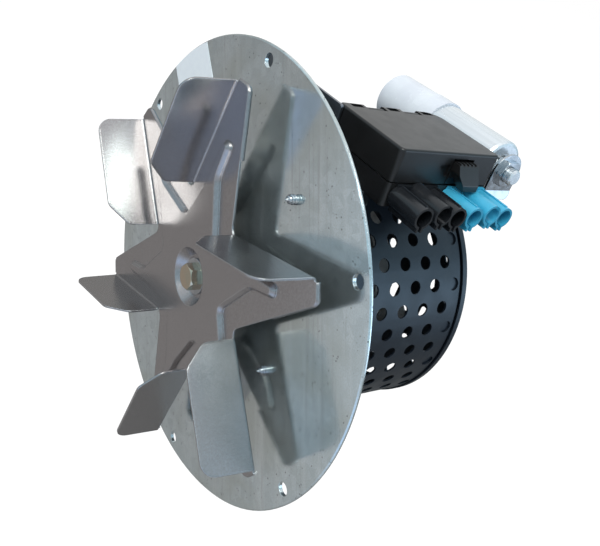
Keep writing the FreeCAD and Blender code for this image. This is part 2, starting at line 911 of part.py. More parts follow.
def cage_end_cap():
    """End cap whose spigot fits in the guard, with rings of radial slots."""
    spigot = cage_radius - cage_wall - cap_fit
    face = cap_end - cage_wall
    cap = turned([(0, face), (spigot - cage_wall, face), (spigot - cage_wall, cage_end - cap_spigot_depth),
                  (spigot, cage_end - cap_spigot_depth), (spigot, face), (cap_rim_radius - cage_wall, face),
                  (cap_rim_radius - cage_wall, cage_end + cap_gap), (cap_rim_radius, cage_end + cap_gap),
                  (cap_rim_radius, cap_end - cap_edge), (cap_rim_radius - cap_edge, cap_end), (0, cap_end)])
    cuts = []
    long, short = cap_slot_half_length, cap_slot_half_length - cap_slot_corner
    for k in range(cap_slot_rings):
        near, far = about(cap_slot_first + cap_slot_step * k, cap_slot_half_width)
        corners = [(near + cap_slot_corner, -long, 0), (far - cap_slot_corner, -long, 0), (far, -short, 0),
                   (far, short, 0), (far - cap_slot_corner, long, 0), (near + cap_slot_corner, long, 0),
                   (near, short, 0), (near, -short, 0)]
        slot = prism(corners, in_plate(face - 1), vec(0, cage_wall + 2, 0))
        cuts += around(slot, cap_slots_inside + cap_slots_more * k)
    return without(cap, cuts)


box_screw_points = [(box_left + box_screw_inset, box_front + box_screw_inset),
                    (box_left + box_screw_inset + box_screw_pitch, box_front + box_screw_inset)]


def box_bracket():
    """Foot on the plate, shelf over the cage, web beside the terminal box and past its corner."""
    web_back = box_front - web_to_box
    shelf_back = cap_axis[0] + shelf_past_saddle
    foot = prism([(bracket_left, shelf_top, 0), (bracket_left, shelf_top - foot_bottom_drop, bracket_round),
                  (foot_right, shelf_top - foot_bottom_drop, bracket_round), (foot_right, shelf_top, 0)],
                 in_plate(plate_thickness), vec(0, bracket_sheet, 0))
    foot = foot.cut(disc(foot_inner, 0, foot_seat + 1))
    shelf = prism([(bracket_left, plate_thickness, 0), (bracket_left, web_back, 0), (box_left, web_back, 0),
                   (box_left - shelf_left_of_box, shelf_back, bracket_round),
                   (shelf_right, shelf_back, bracket_round),
                   (shelf_right, box_front, 0), (foot_right, plate_thickness + shelf_taper_from, 0),
                   (foot_right, plate_thickness, 0)],
                  in_floor(shelf_bottom), vec(0, 0, bracket_sheet))
    web_right = box_left + web_past_box
    web = prism([(bracket_left, shelf_bottom, 0), (web_right, shelf_bottom, 0),
                 (web_right, box_top, bracket_sheet), (bracket_left, box_top, bracket_round)],
                in_plate(web_back - bracket_sheet), vec(0, bracket_sheet, 0))
    holes = [disc(tap_radius, 0, foot_seat + 1, p) for p in foot_screw_points]
    holes += [rod_z(box_screw_radius, shelf_bottom - 1, shelf_top + 1, p) for p in box_screw_points]
    holes.append(rod_z(grommet_radius, shelf_bottom - 1, shelf_top + 1, lead_at))
    return without(fused([foot, shelf, web]), holes)


def box_screws():
    screws = []
    top = floor_top + box_screw_head_height
    for point in box_screw_points:
        shank = rod_z(box_screw_radius, shelf_bottom - box_screw_past_shelf, floor_top, point)
        head = rod_z(box_screw_head, floor_top, top, point)
        slot_cut = screw_slot(point, (top - screw_slot_depth, top + 1), box_screw_head + 1)
        screws.append(shank.fuse(head).cut(slot_cut))
    return Part.makeCompound(screws)


def box_plan(inset):
    """Plan of the terminal box as rounded corners; the one beside the capacitor is rounder."""
    left, right = box_left + inset, box_right - inset
    front, back = box_front + inset, box_back - inset
    small = max(box_corner - inset, least_corner * box_corner)
    large = max(box_far_corner - inset, least_corner * box_far_corner)
    return [(left, front, small), (right, front, small), (right, back, small), (left, back, large)]


def socket_span(first):
    return (first - socket_side, first + 2 * barrel_pitch + socket_side)


def hinge_tower(y):
    """Post with the eye that the lid's hinge bar turns in."""
    x, z = hinge_at
    along = about(y, hinge_slot / 2 - hinge_side_play)
    post = block((x - hinge_post_in, x + hinge_post_out), along, (floor_top - box_wall / 2, z))
    eye = disc(hinge_eye, along[0], along[1], hinge_at)
    return post.fuse(eye).cut(disc(hinge_bar + hinge_play, along[0] - 1, along[1] + 1, hinge_at))


def terminal_box_base():
    outer = prism(box_plan(0.0), in_floor(shelf_top), vec(0, 0, base_top - shelf_top))
    tray = outer.cut(prism(box_plan(box_wall), in_floor(floor_top), vec(0, 0, base_height)))
    cuts = []
    for first in (black_first, blue_first):
        span = socket_span(first)
        cuts.append(block((wall_in - 1, box_right + 1), (span[0] - window_play, span[1] + window_play),
                          (socket_floor - window_play, socket_roof + window_play)))
    cuts += [rod_z(box_screw_radius, shelf_top - 1, floor_top + 1, p) for p in box_screw_points]
    cuts.append(rod_z(lead_radius + lead_fit, shelf_top - 1, floor_top + 1, lead_at))
    return fused([without(tray, cuts)] + [hinge_tower(y) for y in hinge_places] + [capacitor_saddle()])


def capacitor_saddle():
    """Cradle moulded on the side of the base, under the capacitor."""
    across = (box_back - box_wall / 2, cap_axis[0] + saddle_half_width)
    solid = block((saddle_from, saddle_to), across, (shelf_top, shelf_top + saddle_height))
    can_space = rod_x(can_radius + saddle_play, saddle_from - 1, saddle_to + 1, cap_axis)
    cover_space = rod_x(cover_radius + saddle_play, saddle_from - 1, cover_to + saddle_play, cap_axis)
    pocket = block((saddle_from + saddle_wall, saddle_to - saddle_wall),
                   (box_back + saddle_wall, across[1] - saddle_wall),
                   (shelf_top - 1, shelf_top + saddle_pocket))
    return without(solid, [can_space.fuse(cover_space), pocket])


def lid_cuts():
    """Hinge slots, shallow pockets, the latch window and the mark beside it."""
    x = hinge_at[0]
    cuts = []
    for y in hinge_places:
        along = about(y, hinge_slot / 2)
        cuts.append(block((box_left - 1, box_left + hinge_slot_reach), along, (box_split - 1, box_top + 1)))
    for offset in (-pocket_offset, 0.0, pocket_offset):
        near = box_left + pocket_from_edge
        cuts.append(block((near, near + pocket_length), about(box_middle + offset, pocket_width / 2),
                          (box_top - pocket_depth, box_top + 1)))
    cuts.append(block((wall_in - 1, box_right + 1),
                      (latch_from - latch_side_play, latch_to + latch_side_play),
                      (box_split - 1, window_top)))
    edge = latch_from - 3 * latch_side_play
    triangle = [(edge - mark_length, latch_pivot[1] - 1, mark_round), (edge, latch_pivot[1], mark_round),
                (edge, latch_pivot[1] - mark_height, mark_round)]
    cuts.append(prism(triangle, in_side(box_right - mark_depth), vec(mark_depth + 1, 0, 0)))
    return cuts


def terminal_box_lid():
    outer = prism(box_plan(0.0), in_floor(box_split), vec(0, 0, lid_height))
    top_edges = [e for e in outer.Edges if min(v.Z for v in e.Vertexes) > box_top - 1e-4]
    outer = outer.makeFillet(min(lid_edge, 0.9 * box_wall), top_edges)
    shell = outer.cut(prism(box_plan(box_wall), in_floor(box_split - 1), vec(0, 0, lid_roof - box_split + 1)))
    x, z = hinge_at
    cheeks, bars = [], []
    for y in hinge_places:
        near, far = about(y, hinge_slot / 2)
        for span in ((near - cheek_thickness, near), (far, far + cheek_thickness)):
            cheeks.append(block((cheek_from, x + cheek_reach), span, (z - cheek_drop, lid_roof + join_depth)))
        bars.append(disc(hinge_bar, near - cheek_thickness, far + cheek_thickness, hinge_at))
    px, pz = latch_pivot
    lugs = []
    for y_from, y_to in ((latch_from - latch_side_play - latch_lug, latch_from - latch_side_play),
                         (latch_to + latch_side_play, latch_to + latch_side_play + latch_lug)):
        lug = block((px - latch_lug, wall_in + join_depth), (y_from, y_to),
                    (pz - latch_lug, lid_roof + join_depth))
        lugs.append(lug.cut(disc(latch_bar + latch_play, y_from - 1, y_to + 1, latch_pivot)))
    return fused([without(fused([shell] + cheeks + lugs), lid_cuts())] + bars)


def lid_latch():
    """Ribbed lever in the front window of the lid, on its own pivot bar."""
    px, pz = latch_pivot
    inner = wall_in + latch_play
    bottom = box_split + latch_above_split
    toe = box_right + latch_toe_out
    side = [(inner, latch_top, 0), (box_right + latch_grip_out, latch_top, latch_round),
            (toe, bottom + latch_toe_height, latch_round), (toe, bottom, latch_round),
            (toe - latch_toe_thickness, bottom, latch_round),
            (box_right + latch_neck_out, bottom + latch_hollow_height, latch_round),
            (box_right, bottom, 0), (inner, bottom, 0)]
    width = vec(0, latch_width, 0)
    lever = prism(side, lambda x, z: vec(x, latch_from, z), width)
    boss = disc(latch_boss, latch_from, latch_to, latch_pivot)
    neck = block((px, inner + 1), (latch_from, latch_to), about(pz, latch_boss / 2))
    bar_from = latch_from - latch_side_play - latch_lug + latch_play
    bar_to = latch_to + latch_side_play + latch_lug - latch_play
    bar = disc(latch_bar, bar_from, bar_to, latch_pivot)
    ribs = []
    for k in range(latch_ribs):
        y = latch_from + latch_width * (k + 0.5) / latch_ribs
        ribs.append(block((box_right + latch_rib_from, box_right + latch_grip_out),
                          about(y, latch_rib_width / 2),
                          (latch_top - latch_rib_height, latch_top + latch_rib_height)))
    corner_cut = prism([(latch_from - 1, bottom + latch_corner_height, 0), (latch_from - 1, bottom - 1, 0),
                        (latch_from + latch_corner_cut, bottom - 1, 0)],
                       in_side(box_right + join_depth), vec(latch_toe_out, 0, 0))
    return fused([lever, boss, neck, bar] + ribs).cut(corner_cut)


def barrel_places(first):
    """Centre (y, z) and mouth of each barrel; the middle one sits higher and reaches further."""
    places = []
    for i, raised in enumerate((0, 1, 0)):
        at = (first + i * barrel_pitch, barrel_height + raised * middle_rise)
        places.append((at, barrel_mouth + raised * middle_reach, raised))
    return places


def socket(first):
    """Three split barrels on one moulded block that passes through the wall of the box."""
    span = socket_span(first)
    start = box_right + barrel_from_wall
    solids = [block((socket_back, box_right + link_reach), span, (socket_floor, socket_roof))]
    cuts = []
    half_slit = barrel_slit / 2
    for (y, z), mouth, raised in barrel_places(first):
        solids.append(rod_x(barrel_radius, start, mouth, (y, z)))
        solids.append(block((start, mouth), about(y, half_slit + slit_wall),
                            (z - barrel_radius - slit_drop, z - barrel_bore)))
        cuts.append(rod_x(barrel_bore, box_right + bore_from_wall, mouth + 1, (y, z)))
        cuts.append(rod_x(pin_radius, socket_back - 1, box_right + bore_from_wall + 1, (y, z)))
        cuts.append(block((box_right + slit_from_wall, mouth + 1), about(y, half_slit),
                          (z - barrel_radius - slit_drop - 1, z)))
        if raised:
            cuts.append(block((box_right + 2 * slit_from_wall, mouth + 1),
                              (y + half_slit, y + 2 * barrel_slit),
                              (z + barrel_bore / 2, z + barrel_radius + 1)))
        else:
            solids.append(block((start, mouth - key_short), about(y, key_width / 2),
                                (z + barrel_radius - key_height, z + barrel_radius + key_height)))
    for i in range(2):
        y = first + (i + 0.5) * barrel_pitch
        solids.append(block((start, barrel_mouth - barrel_web_short), about(y, barrel_web_half),
                            (barrel_height - 1, barrel_height - 1 + barrel_web_height)))
    return without(fused(solids), cuts).removeSplitter()


def black_socket():
    return socket(black_first)


def blue_socket():
    return socket(blue_first)


def socket_pins(first):
    tip = box_right + pin_reach
    tail = socket_back - pin_tail
    pins = []
    for at, mouth, raised in barrel_places(first):
        pins.append(turned_x([(tail, 0), (tail, pin_radius), (tip - pin_nose, pin_radius),
                              (tip, pin_nose_radius), (tip, 0)], at))
    return Part.makeCompound(pins)


def black_socket_pins():
    return socket_pins(black_first)


def blue_socket_pins():
    return socket_pins(blue_first)


def clamp_points():
    """Centre (x, y) of every clamp screw, two to a way."""
    middle = (block_left + block_right) / 2
    points = []
    for k in range(block_ways):
        y = block_front + way_pitch * (k + 0.5)
        points += [(middle - clamp_offset, y), (middle + clamp_offset, y)]
    return points


def terminal_block():
    """Strip of screw clamps, with a wire entry on each side and a groove between the ways."""
    body = block((block_left, block_right), (block_front, block_front + way_pitch * block_ways),
                 (floor_top, block_top))
    cuts = [rod_z(clamp_bore, block_top - clamp_depth, block_top + 1, p) for p in clamp_points()]
    for k in range(block_ways):
        entry = (block_front + way_pitch * (k + 0.5), floor_top + wire_bore_height)
        cuts.append(rod_x(wire_bore, block_left - 1, block_left + wire_bore_depth, entry))
        cuts.append(rod_x(wire_bore, block_right - wire_bore_depth, block_right + 1, entry))
    for k in range(1, block_ways):
        cuts.append(block((block_left - 1, block_right + 1),
                          about(block_front + way_pitch * k, way_groove / 2),
                          (block_top - way_groove_depth, block_top + 1)))
    return without(body, cuts)


def terminal_screws():
    seat = block_top - clamp_depth
    top = seat + clamp_screw_height
    screws = []
    for x, y in clamp_points():
        head = rod_z(clamp_screw_radius, seat, top, (x, y))
        slot_cut = block(about(x, clamp_bore), about(y, clamp_slot_width / 2),
                         (top - screw_slot_width, top + 1))
        screws.append(head.cut(slot_cut))
    return Part.makeCompound(screws)


def capacitor_can():
    """Drawn can with a crimp near its far end and the fixing stud in its near end."""
    r = can_radius
    crimp = can_from + can_crimp_from_end
    stud_end = can_to + stud_length
    return turned_x([(can_from, 0), (can_from, r - can_edge), (can_from + can_edge, r),
                     (crimp - can_crimp, r), (crimp, r - can_crimp), (crimp + can_crimp, r),
                     (can_to - 3 * can_neck, r),
                     (can_to - can_neck, r - can_neck), (can_to, r - 3 * can_neck), (can_to, stud_radius),
                     (stud_end - stud_chamfer, stud_radius), (stud_end, stud_radius - stud_chamfer),
                     (stud_end, 0)], cap_axis)


def capacitor_cover():
    """Moulded cap over the terminals, with a thicker skirt round the can."""
    r = cover_radius
    far = r - cover_draft
    ridge = cover_to - cover_ridge_length
    seat = can_from - cover_play
    shoulder = cover_inner - cover_shoulder
    return turned_x([(cover_from, 0), (cover_from, far - cover_shoulder), (cover_from + cover_shoulder, far),
                     (ridge - cover_step, r - cover_step), (ridge, r), (cover_to, r), (cover_to, cover_inner),
                     (seat, cover_inner), (seat - cover_wall / 2, shoulder),
                     (cover_from + cover_wall, shoulder), (cover_from + cover_wall, 0)], cap_axis)


def capacitor_tabs():
    """Flat terminals on the far end of the can, under the cover."""
    y, z = cap_axis
    tip = cover_from + cover_wall + tab_to_cover
    return Part.makeCompound([block((tip, can_from), about(y + side * tab_spacing, tab_half_width),
                                    about(z, tab_half_thickness)) for side in (-1, 1)])


def capacitor_tooth_washer():
    y, z = cap_axis
    root = tooth_washer_radius - tooth_height
    teeth = []
    for k in range(tooth_count):
        tooth = block((washer_from, nut_from), about(y, tooth_width / 2),
                      (z + root - tooth_height / 2, z + tooth_washer_radius))
        tooth.rotate(vec(0, y, z), vec(1, 0, 0), 360.0 * k / tooth_count)
        teeth.append(tooth)
    body = fused([rod_x(root, washer_from, nut_from, cap_axis)] + teeth)
    return body.cut(rod_x(stud_radius, washer_from - 1, nut_from + 1, cap_axis))


def nut(x_from, height):
    y, z = cap_axis
    body = hexagon(nut_across_flats, lambda a, b: vec(x_from, y + a, z + b), vec(height, 0, 0))
    corner = corner_radius(nut_across_flats)
    x_to = x_from + height
    crown = turned_x([(x_from, 0), (x_from, corner - nut_chamfer), (x_from + nut_chamfer, corner),
                      (x_to - nut_chamfer, corner), (x_to, corner - nut_chamfer), (x_to, 0)], cap_axis)
    return body.common(crown).cut(rod_x(stud_radius, x_from - 1, x_to + 1, cap_axis))


def capacitor_nuts():
    return Part.makeCompound([nut(nut_from, nut_height), nut(jam_from, jam_nut_height)])


def earth_lug():
    """Zinc strip between the nuts, hanging down, with its end bent outwards."""
    y, z = cap_axis
    left, right = about(y, lug_half_width)
    bend = z - lug_bend_down
    upper = prism([(left, z + lug_up, lug_head_round), (right, z + lug_up, lug_head_round),
                   (right, bend, 0), (left, bend, 0)], in_side(lug_from), vec(lug_thickness, 0, 0))
    end = z - lug_down
    slant = [(lug_from, bend, 0), (jam_from, bend, 0), (jam_from + lug_lean, end, 0),
             (lug_from + lug_lean, end, 0)]
    bent = prism(slant, lambda a, b: vec(a, left, b), vec(0, 2 * lug_half_width, 0))
    rounded = prism([(left, z, 0), (right, z, 0), (right, end, lug_round), (left, end, lug_round)],
                    in_side(lug_from - 1), vec(lug_thickness + lug_lean + 2, 0, 0))
    return fused([upper, bent.common(rounded)]).cut(rod_x(stud_radius, lug_from - 1, jam_from + 1, cap_axis))


def motor_lead():
    """Sleeved lead from the front end turn up through the cage into the terminal box."""
    reach = rod_z(lead_radius, 0, floor_top + lead_in_box, lead_at)
    coil = disc(winding_outer, lead_at[1] - 2 * lead_radius, lead_at[1] + 2 * lead_radius)
    return reach.cut(coil)


def lead_grommet():
    """Rubber bush in the cage wall round the lead."""
    x, y = lead_at
    wall_z = math.sqrt(cage_radius ** 2 - x ** 2)
    collar_radius = grommet_radius + grommet_collar
    lower, upper = wall_z - grommet_inside - grommet_radius, wall_z + grommet_outside + grommet_radius
    collar = rod_z(collar_radius, lower, upper, lead_at)
    near, far = about(y, collar_radius + 1)
    wall = ring(cage_radius, cage_radius - cage_wall, near, far)
    groove = wall.cut(rod_z(grommet_radius, 0, upper, lead_at))
    trimmed = collar.common(ring(cage_radius + grommet_collar, cage_radius - cage_wall - grommet_collar,
                                 near, far))
    return trimmed.cut(groove).cut(rod_z(lead_radius, 0, upper + 1, lead_at))


NODES = [mounting_plate, plate_screws, impeller, hub_bolt, hub_washer, impeller_hub, motor_shaft,
         cooling_fan, front_bearing, rear_bearing, front_end_shield, rear_end_shield, stator_core,
         stator_windings, rotor_core, rotor_end_rings, tie_bolts, standoffs, cage_shell, cage_end_cap,
         box_bracket, box_screws, terminal_box_base, terminal_box_lid, lid_latch, terminal_block,
         terminal_screws, black_socket, blue_socket, black_socket_pins, blue_socket_pins, capacitor_can,
         capacitor_cover, capacitor_tabs, capacitor_tooth_washer, capacitor_nuts, earth_lug, motor_lead,
         lead_grommet]

os.makedirs("parts", exist_ok=True)
for make in NODES:
    shape = make()
    name = make.__name__
    print(name, "solids", len(shape.Solids), "valid", shape.isValid(), "volume", round(shape.Volume, 1))
    shape.exportStep("parts/" + name + ".step")
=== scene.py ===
import json
import math

import bmesh
import bpy
from mathutils import Matrix, Vector

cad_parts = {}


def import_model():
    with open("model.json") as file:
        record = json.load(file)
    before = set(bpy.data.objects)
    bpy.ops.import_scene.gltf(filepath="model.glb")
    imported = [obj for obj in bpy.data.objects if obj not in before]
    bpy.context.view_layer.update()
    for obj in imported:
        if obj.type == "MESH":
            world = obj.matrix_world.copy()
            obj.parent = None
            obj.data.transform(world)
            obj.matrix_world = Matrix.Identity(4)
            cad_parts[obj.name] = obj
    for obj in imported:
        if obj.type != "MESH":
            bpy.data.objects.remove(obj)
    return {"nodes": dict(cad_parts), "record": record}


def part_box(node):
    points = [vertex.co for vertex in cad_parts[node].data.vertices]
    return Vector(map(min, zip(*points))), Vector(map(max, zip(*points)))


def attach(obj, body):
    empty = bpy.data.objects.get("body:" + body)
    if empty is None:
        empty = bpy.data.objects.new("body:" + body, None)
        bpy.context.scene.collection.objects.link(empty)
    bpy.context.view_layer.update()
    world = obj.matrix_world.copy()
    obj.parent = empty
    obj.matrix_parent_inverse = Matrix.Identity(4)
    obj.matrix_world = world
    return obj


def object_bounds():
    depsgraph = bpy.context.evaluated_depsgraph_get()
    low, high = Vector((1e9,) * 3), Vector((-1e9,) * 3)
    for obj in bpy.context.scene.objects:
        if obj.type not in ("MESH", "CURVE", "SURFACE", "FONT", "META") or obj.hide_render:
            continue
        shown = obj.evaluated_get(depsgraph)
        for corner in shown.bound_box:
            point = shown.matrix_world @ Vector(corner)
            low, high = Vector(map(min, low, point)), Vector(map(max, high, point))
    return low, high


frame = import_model()
cad_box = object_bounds()
nodes = frame["nodes"]

# Camera, worked out from the photograph: its place in plate radii and its axes in the row frame
PLATE_RADIUS = (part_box("mounting_plate")[1].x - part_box("mounting_plate")[0].x) / 2
CAMERA_PLACE = Vector((2.11276, -1.48568, 1.57985)) * PLATE_RADIUS
CAMERA_RIGHT = Vector((0.51270, 0.80283, 0.30430))
CAMERA_UP = Vector((-0.57076, 0.05394, 0.81934))
CAMERA_BACK = Vector((0.64138, -0.59376, 0.48588))
CAMERA_LENS = 41.54
CAMERA_NEAREST = 0.01

# Floor: drop below the part and half width in metres, colour in the lamps' light, and level that the camera sees
FLOOR_DROP = 0.17
FLOOR_REACH = 8.0
FLOOR_COLOR = (0.22, 0.205, 0.195)
FLOOR_SEEN = 0.86

# What the part's metal mirrors of the floor, as in the photographed room: dark behind the plate, grey in front of it,
# lighter at the right, with a round patch of blue daylight. Each fade is given in metres, towards its side or out from
# the patch's middle.
MIRRORED_BEHIND = (0.02, 0.02, 0.02)
MIRRORED_FRONT = (0.13, 0.115, 0.113)
MIRRORED_RIGHT = (0.34, 0.385, 0.44)
MIRRORED_PATCH = (0.42, 0.62, 0.95)
FRONT_SIDE = (0.0, -1.0, 0.0)
FRONT_FADE = (-0.1, 0.2)
RIGHT_SIDE = (0.6, -0.8, 0.0)
RIGHT_FADE = (0.05, 0.36)
PATCH_MIDDLE = (0.44, -0.46)
PATCH_FADE = (0.46, 0.2)

# Room: colour of the walls away from the daylight and towards it, ceiling, and how white all of it is in mirrors
WALL_COLORS = ((0.28, 0.28, 0.27), (0.37, 0.56, 0.68))
DAYLIGHT_SIDE = (0.95, -0.3, 0.0)
DAYLIGHT_FADE = (-0.95, -0.35)
CEILING_COLOR = (0.90, 0.94, 0.98)
CEILING_FADE = (0.45, 0.9)
WHITE_MIRRORED = 0.12

# Part of a noise's range over which the gloss of most finishes changes
NOISE_MIDDLE = (0.3, 0.7)

# Cosines between a face's own and its rounded normal: from shallow to sharp fold, and from sharp fold to the sharp edge
# that gets a painted highlight
SHARP_FOLD = (0.93, 0.84)
PAINTED_HIGHLIGHT_EDGE = (0.83, 0.74)
# How far the painted edge highlight takes the colour towards near white
PAINTED_HIGHLIGHT_AMOUNT = 0.9

# Turn of the lines that the plate's sheet was rolled with, from the vertical
ROLLED_TURN = 0.536

# Threads, which are plain shanks in CAD. Section of the ridge: places along in pitches and out in ridge heights.
THREAD_SECTION = ((-0.42, -0.5), (-0.06, 1.0), (0.06, 1.0), (0.42, -0.5))
THREAD_STEPS = 20
LEAST_RADIUS = 0.0001
STUD_RADIUS = 0.004
STUD_PITCH = 0.00125
STUD_RIDGE = 0.0004

# Tapping screws: the thread starts in front of the plate's face, and tip and taper count from its start
TAP_START = 0.0004
TAP_RADIUS = 0.0021
TAP_PITCH = 0.0015
TAP_RIDGE = 0.0005
TAP_TIP = 0.006
TAP_TAPER = 0.0026
TAP_BARE_TIP = 0.0014

# Blank label on the plate. Outwards it reaches as far as given here, or to the rim where that is nearer.
LABEL_MIDDLE = Vector((-0.0826, 0.0932))
LABEL_INWARD = Vector((0.735, -0.678)).normalized()
LABEL_WIDTH = 0.0375
LABEL_HEIGHT = 0.024
LABEL_OUTWARD = 0.006
LABEL_OUTWARD_STEP = 0.0001
LABEL_RIM = 0.1268
LABEL_RIM_STEPS = 12
LABEL_THICKNESS = 0.0002


class Nodes:
    """Makes and joins the nodes of one shader tree."""

    def __init__(self, tree):
        self.tree = tree

    def feed(self, socket, value):
        """Links another node's output to a socket, or sets the socket's constant."""
        if isinstance(value, bpy.types.NodeSocket):
            self.tree.links.new(value, socket)
        else:
            socket.default_value = value

    def node(self, kind, inputs=None, **settings):
        made = self.tree.nodes.new(kind)
        for name, value in settings.items():
            setattr(made, name, value)
        for name, value in (inputs or {}).items():
            self.feed(made.inputs[name], value)
        return made

    def between(self, value, low, high, to_low=0.0, to_high=1.0):
        """value between low and high, mapped to to_low and to_high, and held outside them."""
        inputs = {"Value": value, "From Min": low, "From Max": high, "To Min": to_low, "To Max": to_high}
        return self.node("ShaderNodeMapRange", inputs, interpolation_type="SMOOTHSTEP").outputs["Result"]

    def towards(self, vector, direction):
        """How far a vector reaches in a direction."""
        return self.node("ShaderNodeVectorMath", {0: vector, 1: direction}, operation="DOT_PRODUCT").outputs["Value"]

    def math(self, operation, a, b):
        return self.node("ShaderNodeMath", {0: a, 1: b}, operation=operation).outputs[0]

    def mix(self, factor, a, b):
        """Colour between a and b."""
        made = self.node("ShaderNodeMix", data_type="RGBA")
        self.feed(made.inputs[0], factor)
        for socket, value in ((made.inputs[6], a), (made.inputs[7], b)):
            self.feed(socket, value if isinstance(value, bpy.types.NodeSocket) else (*value, 1))
        return made.outputs[2]

    def seen_by(self):
        """Whether the ray comes from the camera, and whether it comes by way of a mirror or glass."""
        path = self.node("ShaderNodeLightPath").outputs
        return path["Is Camera Ray"], self.math("MAXIMUM", path["Is Glossy Ray"], path["Is Transmission Ray"])


class Finish(Nodes):
    """A material with one Principled shader, and the nodes that vary it over the surface."""

    def __init__(self, name, **sockets):
        self.name = name
        self.material = bpy.data.materials.new(name)
        self.material.use_nodes = True
        super().__init__(self.material.node_tree)
        self.shader = self.tree.nodes["Principled BSDF"]
        self.set(**sockets)
        self.place = self.node("ShaderNodeTexCoord").outputs["Object"]
        self.flat = self.rounded = None

    def set(self, **sockets):
        """Sets constants, or links, on the shader's own sockets."""
        for name, value in sockets.items():
            self.feed(self.shader.inputs[name.replace("_", " ").title().replace("Ior", "IOR")], value)

    def noise(self, scale, detail, stretch=(1, 1, 1), distortion=0.0, turn=0.0):
        """Noise over the surface's coordinates, turned about the shaft and with each axis multiplied."""
        place = self.place
        if turn:
            place = self.node("ShaderNodeVectorRotate", {"Vector": place, "Angle": turn},
                              rotation_type="Y_AXIS").outputs[0]
        place = self.node("ShaderNodeVectorMath", {0: place, 1: stretch}, operation="MULTIPLY").outputs[0]
        inputs = {"Vector": place, "Scale": scale, "Detail": detail, "Distortion": distortion}
        return self.node("ShaderNodeTexNoise", inputs).outputs["Fac"]

    def cells(self, scale):
        return self.node("ShaderNodeTexVoronoi", {"Vector": self.place, "Scale": scale}).outputs

    def tinted(self, color, value, low, high, amount, tint):
        """color, taken towards tint by up to amount as value goes from low to high."""
        return self.mix(self.between(value, low, high, 0.0, amount), color, tint)

    def gloss(self, value, roughness, low_high=NOISE_MIDDLE):
        """Roughness between the two given, as value goes from low to high."""
        self.set(roughness=self.between(value, *low_high, *roughness))

    def soft_edges(self, radius, wide=None):
        """Rounds the look of every sharp edge, and of shallow folds by the wide radius where there is one."""
        self.flat = self.node("ShaderNodeNewGeometry").outputs["True Normal"]
        self.rounded = self.node("ShaderNodeBevel", {"Radius": radius}).outputs["Normal"]
        if wide:
            broad = self.node("ShaderNodeBevel", {"Radius": wide}).outputs["Normal"]
            made = self.node("ShaderNodeMix", data_type="VECTOR")
            self.feed(made.inputs[0], self.between(self.towards(broad, self.flat), *SHARP_FOLD))
            self.feed(made.inputs[4], broad)
            self.feed(made.inputs[5], self.rounded)
            self.rounded = made.outputs[1]
        self.set(normal=self.rounded)

    def painted_edge_highlight(self):
        """How much the surface is a sharp edge, within the radius of soft_edges, for a painted edge highlight."""
        return self.between(self.towards(self.rounded, self.flat), *PAINTED_HIGHLIGHT_EDGE, 0.0, PAINTED_HIGHLIGHT_AMOUNT)

    def bump(self, height, depth):
        """Relief of the given depth in metres, added to what is there."""
        under = self.shader.inputs["Normal"].links
        inputs = {"Height": height, "Distance": depth, "Strength": 1.0}
        if under:
            inputs["Normal"] = under[0].from_socket
        self.set(normal=self.node("ShaderNodeBump", inputs).outputs["Normal"])


def plate_zinc():
    """Galvanised sheet: dull mirror with a faint spangle, clouds, slanting rolling lines and small dark specks."""
    f = Finish("plate_zinc", metallic=0.9)
    f.soft_edges(0.0005)
    streak = f.noise(120.0, 4.0, stretch=(1.0, 1.0, 0.03), turn=ROLLED_TURN)
    scratch = f.noise(620.0, 2.0, stretch=(1.0, 1.0, 0.02), turn=ROLLED_TURN)
    color = f.mix(f.cells(210.0)["Color"], (0.635, 0.715, 0.735), (0.78, 0.865, 0.89))
    color = f.tinted(color, f.noise(22.0, 6.0, distortion=0.6), 0.4, 0.68, 0.8, (0.585, 0.63, 0.59))
    color = f.tinted(color, streak, 0.5, 0.75, 0.5, (0.85, 0.91, 0.92))
    color = f.tinted(color, scratch, 0.56, 0.72, 0.4, (0.46, 0.48, 0.48))
    color = f.tinted(color, f.noise(1500.0, 3.0), 0.42, 0.64, 0.45, (0.57, 0.60, 0.60))
    speck = f.between(f.cells(520.0)["Distance"], 0.12, 0.3, 0.85, 0.0)
    chosen = f.between(f.noise(260.0, 1.0), 0.57, 0.62)
    f.set(base_color=f.mix(f.math("MULTIPLY", speck, chosen), color, (0.16, 0.16, 0.15)))
    f.gloss(f.noise(40.0, 3.0), (0.10, 0.17))
    f.bump(f.noise(26.0, 1.0), 0.00006)
    f.bump(streak, 0.000008)
    return f


def impeller_steel():
    """Rolled stainless sheet: satin sheen, faint grain along one direction, finger smudges and a painted highlight on
    its sharp edges.
    """
    f = Finish("impeller_steel", metallic=0.96)
    f.soft_edges(0.0007, 0.0016)
    grain = f.noise(1500.0, 2.0, stretch=(1.0, 0.25, 0.25))
    smudge = f.noise(30.0, 4.0)
    color = f.mix(f.between(grain, 0.3, 0.7), (0.37, 0.35, 0.35), (0.41, 0.385, 0.385))
    color = f.tinted(color, smudge, 0.45, 0.7, 0.5, (0.385, 0.355, 0.345))
    color = f.tinted(color, f.noise(1300.0, 3.0), 0.42, 0.64, 0.5, (0.47, 0.46, 0.465))
    # Sharp edges are taken towards near white: a painted highlight.
    f.set(base_color=f.mix(f.painted_edge_highlight(), color, (0.86, 0.87, 0.88)))
    f.gloss(smudge, (0.21, 0.27), (0.35, 0.7))
    f.bump(f.noise(24.0, 1.0), 0.00004)
    f.bump(grain, 0.000003)
    return f


def plated(name, low, high, roughness=(0.16, 0.34)):
    """Plated or polished small metal parts: slight colour drift and a fine uneven gloss."""
    f = Finish(name, metallic=1.0)
    f.soft_edges(0.0004)
    f.set(base_color=f.mix(f.between(f.noise(120.0, 3.0), 0.35, 0.65), low, high))
    f.gloss(f.noise(260.0, 2.0), roughness)
    f.bump(f.noise(300.0, 2.0), 0.000003)
    return f


